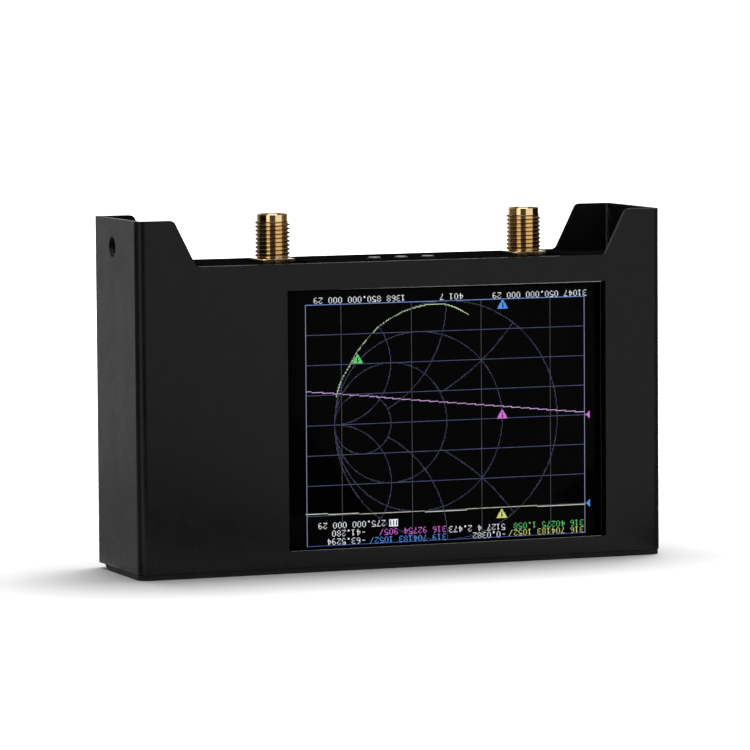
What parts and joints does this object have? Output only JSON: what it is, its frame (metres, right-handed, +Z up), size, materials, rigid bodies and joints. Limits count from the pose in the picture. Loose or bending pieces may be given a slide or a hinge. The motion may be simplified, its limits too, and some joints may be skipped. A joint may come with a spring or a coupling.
{
  "type": "antenna analyzer",
  "caption": "Hand-held antenna analyzer: folded sheet-metal case with a display window, coaxial ports and push buttons in a recess between raised ears.",
  "frame": {"origin": "middle of the face that the case stands on, in the plane of its underside", "axes": "+Z up towards the coaxial ports, +X to the right seen from the screen, +Y from the screen to the back panel"},
  "size_m": [0.0972, 0.0226, 0.0615],
  "materials": {
    "black_sheet": "satin black powder coat",
    "screw_black": "black oxide",
    "nickel": "bright nickel",
    "foam_black": "matte",
    "glass": "clear polished",
    "lcd": "black, lit pixels",
    "tray": "white moulded",
    "frame_plastic": "black moulded",
    "polyimide": "amber film",
    "socket_plastic": "natural nylon",
    "pcb": "black solder mask",
    "gold": "gold plated",
    "ptfe": "white PTFE",
    "can": "tinned",
    "chip": "moulded epoxy",
    "switch_black": "moulded",
    "button_black": "moulded, satin",
    "steel": "nickel plated",
    "pouch": "laminated foil",
    "foam_white": "matte",
    "wire_red": "insulation",
    "wire_black": "insulation"
  },
  "bodies": {
    "root": {"front_cover": "black_sheet", "rear_cover": "black_sheet", "case_screws": "screw_black", "front_standoffs": "nickel", "rear_standoffs": "nickel", "screen_gasket": "foam_black", "touch_panel": "glass", "lcd_panel": "lcd", "lcd_backlight": "tray", "display_frame": "frame_plastic", "display_flex": "polyimide", "flex_connector": "socket_plastic", "main_pcb": "pcb", "sma_body_left": "gold", "sma_body_right": "gold", "sma_insulator_left": "ptfe", "sma_insulator_right": "ptfe", "sma_contact_left": "gold", "sma_contact_right": "gold", "rf_shield_left": "can", "rf_shield_right": "can", "pcb_chips": "chip", "tact_switches": "switch_black", "usb_shell": "steel", "usb_tongue": "switch_black", "power_switch_body": "steel", "battery_cell": "pouch", "battery_pad": "foam_white", "battery_lead_red": "wire_red", "battery_lead_black": "wire_black", "battery_plug": "socket_plastic", "battery_socket": "socket_plastic"},
    "button_left": {"button_left": "button_black"},
    "button_enter": {"button_enter": "button_black"},
    "button_right": {"button_right": "button_black"},
    "power_slider": {"power_switch_slider": "switch_black"}
  },
  "joints": [
    {"name": "button_left_press", "type": "slide", "parent": "root", "child": "button_left", "axis": [0, 0, -1], "range_m": [0, 0.00025], "stiffness_N_per_m": 2000, "springref_m": -0.0002},
    {"name": "button_enter_press", "type": "slide", "parent": "root", "child": "button_enter", "axis": [0, 0, -1], "range_m": [0, 0.00025], "stiffness_N_per_m": 2000, "springref_m": -0.0002},
    {"name": "button_right_press", "type": "slide", "parent": "root", "child": "button_right", "axis": [0, 0, -1], "range_m": [0, 0.00025], "stiffness_N_per_m": 2000, "springref_m": -0.0002},
    {"name": "power_slide", "type": "slide", "parent": "root", "child": "power_slider", "axis": [0, 0, 1], "range_m": [0, 0.002]}
  ]
}
